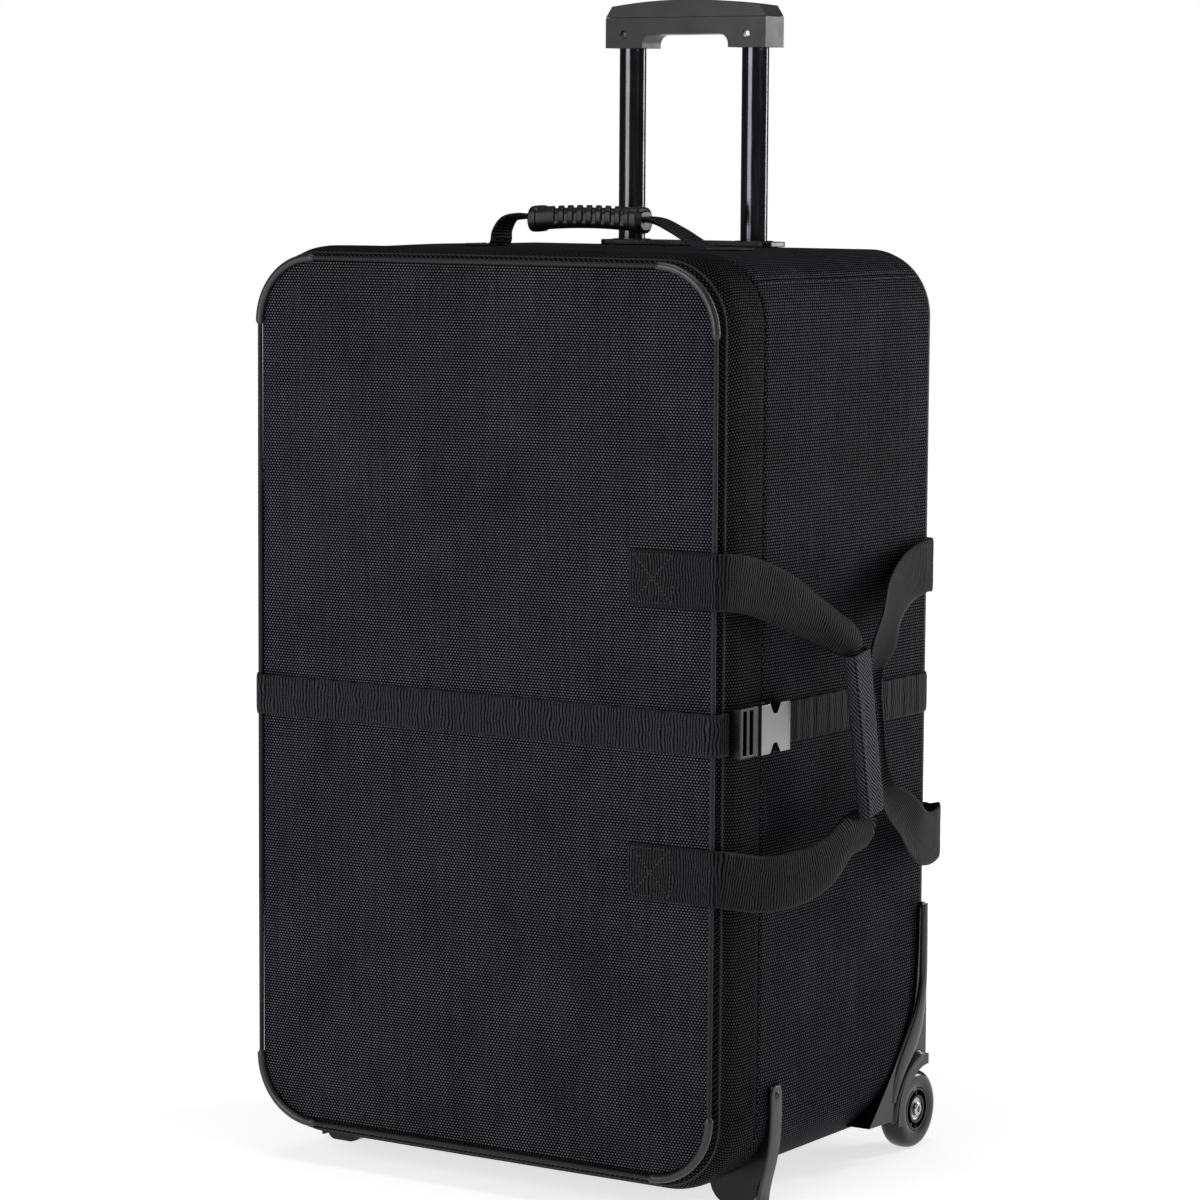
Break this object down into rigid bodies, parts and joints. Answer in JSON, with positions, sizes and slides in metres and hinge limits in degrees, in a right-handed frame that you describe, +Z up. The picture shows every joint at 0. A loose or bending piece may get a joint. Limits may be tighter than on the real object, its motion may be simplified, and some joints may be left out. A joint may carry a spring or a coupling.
{
  "type": "wheeled equipment case",
  "caption": "Upright wheeled equipment case: rigid frame in ballistic nylon, hinged front lid, buckled belt, webbing grab loops, top handle and telescoping trolley handle.",
  "frame": {"origin": "on the floor, below the middle of the object's bounding box", "axes": "+Z up, -Y towards the front, which is the lid's face, and +X towards the side with the buckle and the grab loops"},
  "size_m": [0.5656, 0.4302, 1.0998],
  "materials": {
    "nylon": "woven ballistic nylon",
    "webbing": "woven nylon webbing",
    "board": "extruded polypropylene board",
    "foam": "soft foam under brushed lining",
    "liner": "brushed nylon lining over foam",
    "piping": "bias-cut nylon over cord",
    "trim": "satin moulded plastic",
    "moulded": "fine-textured moulded plastic",
    "gloss": "glossy acetal",
    "grip": "soft-touch moulded plastic",
    "tube": "black anodised, polished",
    "steel": "zinc-plated steel",
    "dark_steel": "blackened steel",
    "tyre": "cast polyurethane"
  },
  "bodies": {
    "case": {"tray_cover": "nylon", "tray_frame": "board", "back_board": "board", "liner_back": "liner", "liner_right": "liner", "liner_left": "liner", "liner_top": "liner", "liner_bottom": "liner", "lid_hinge_strip": "nylon", "belt_tray": "webbing", "buckle_socket": "gloss", "trolley_top_plate": "moulded", "trolley_base": "moulded", "outer_tube_right": "tube", "outer_tube_left": "tube", "wheel_bracket_right": "moulded", "wheel_bracket_left": "moulded", "axle_bolt_right": "steel", "axle_bolt_left": "steel", "foot_right": "moulded", "foot_left": "moulded", "foot_screw_right": "dark_steel", "foot_screw_left": "dark_steel", "rear_patch_upper": "webbing", "rear_patch_lower": "webbing"},
    "lid": {"lid_cover": "nylon", "lid_gusset_frame": "board", "lid_board": "board", "lid_foam": "foam", "lid_piping": "piping", "piping_corner_top_right": "trim", "piping_corner_top_left": "trim", "piping_corner_bottom_right": "trim", "piping_corner_bottom_left": "trim", "belt_lid": "webbing", "front_patch_upper": "webbing", "front_patch_lower": "webbing"},
    "buckle": {"buckle_plug": "gloss"},
    "trolley": {"inner_tube_right": "tube", "inner_tube_left": "tube", "grip_lower": "grip", "grip_upper": "grip", "grip_screw_right": "dark_steel", "grip_screw_left": "dark_steel"},
    "button": {"release_button": "gloss", "release_linkage": "moulded"},
    "pin_right": {"lock_pin_right": "steel"},
    "pin_left": {"lock_pin_left": "steel"},
    "wheel_right": {"wheel_tyre_right": "tyre", "wheel_hub_right": "moulded", "wheel_bearing_right": "steel"},
    "wheel_left": {"wheel_tyre_left": "tyre", "wheel_hub_left": "moulded", "wheel_bearing_left": "steel"},
    "top_handle": {"top_handle_strap": "webbing", "top_handle_grip": "grip"},
    "front_loop": {"front_grab_strap": "webbing", "grab_sleeve": "webbing"},
    "rear_loop": {"rear_grab_strap": "webbing"}
  },
  "joints": [
    {"name": "lid_hinge", "type": "hinge", "parent": "case", "child": "lid", "pos_m": [-0.28075, -0.12888, 0.444], "axis": [0, 0, -1], "range_deg": [0, 180]},
    {"name": "buckle_slide", "type": "slide", "parent": "lid", "child": "buckle", "axis": [0, -1, 0], "range_m": [0, 0.028]},
    {"name": "trolley_slide", "type": "slide", "parent": "case", "child": "trolley", "axis": [0, 0, 1], "range_m": [-0.184, 0]},
    {"name": "release_press", "type": "slide", "parent": "trolley", "child": "button", "axis": [0, 0, -1], "range_m": [0, 0.004], "stiffness_N_per_m": 800, "springref_m": -0.004},
    {"name": "pin_right_slide", "type": "slide", "parent": "trolley", "child": "pin_right", "axis": [-1, 0, 0], "range_m": [0, 0.003]},
    {"name": "pin_left_slide", "type": "slide", "parent": "trolley", "child": "pin_left", "axis": [1, 0, 0], "range_m": [0, 0.003]},
    {"name": "wheel_right_spin", "type": "hinge", "parent": "case", "child": "wheel_right", "pos_m": [0.21825, 0.17712, 0.038], "axis": [1, 0, 0], "continuous": true},
    {"name": "wheel_left_spin", "type": "hinge", "parent": "case", "child": "wheel_left", "pos_m": [-0.26175, 0.17712, 0.038], "axis": [1, 0, 0], "continuous": true},
    {"name": "top_handle_swing", "type": "hinge", "parent": "case", "child": "top_handle", "pos_m": [-0.02175, -0.01388, 0.864], "axis": [1, 0, 0], "range_deg": [-50, 50]},
    {"name": "front_loop_swing", "type": "hinge", "parent": "lid", "child": "front_loop", "pos_m": [0.23525, -0.20888, 0.444], "axis": [0, 0, -1], "range_deg": [0, 35]},
    {"name": "rear_loop_swing", "type": "hinge", "parent": "case", "child": "rear_loop", "pos_m": [0.23525, 0.18112, 0.444], "axis": [0, 0, 1], "range_deg": [0, 60]}
  ],
  "couplings": [
    {"joint": "pin_right_slide", "follows": "release_press", "ratio": 0.75},
    {"joint": "pin_left_slide", "follows": "release_press", "ratio": 0.75}
  ]
}
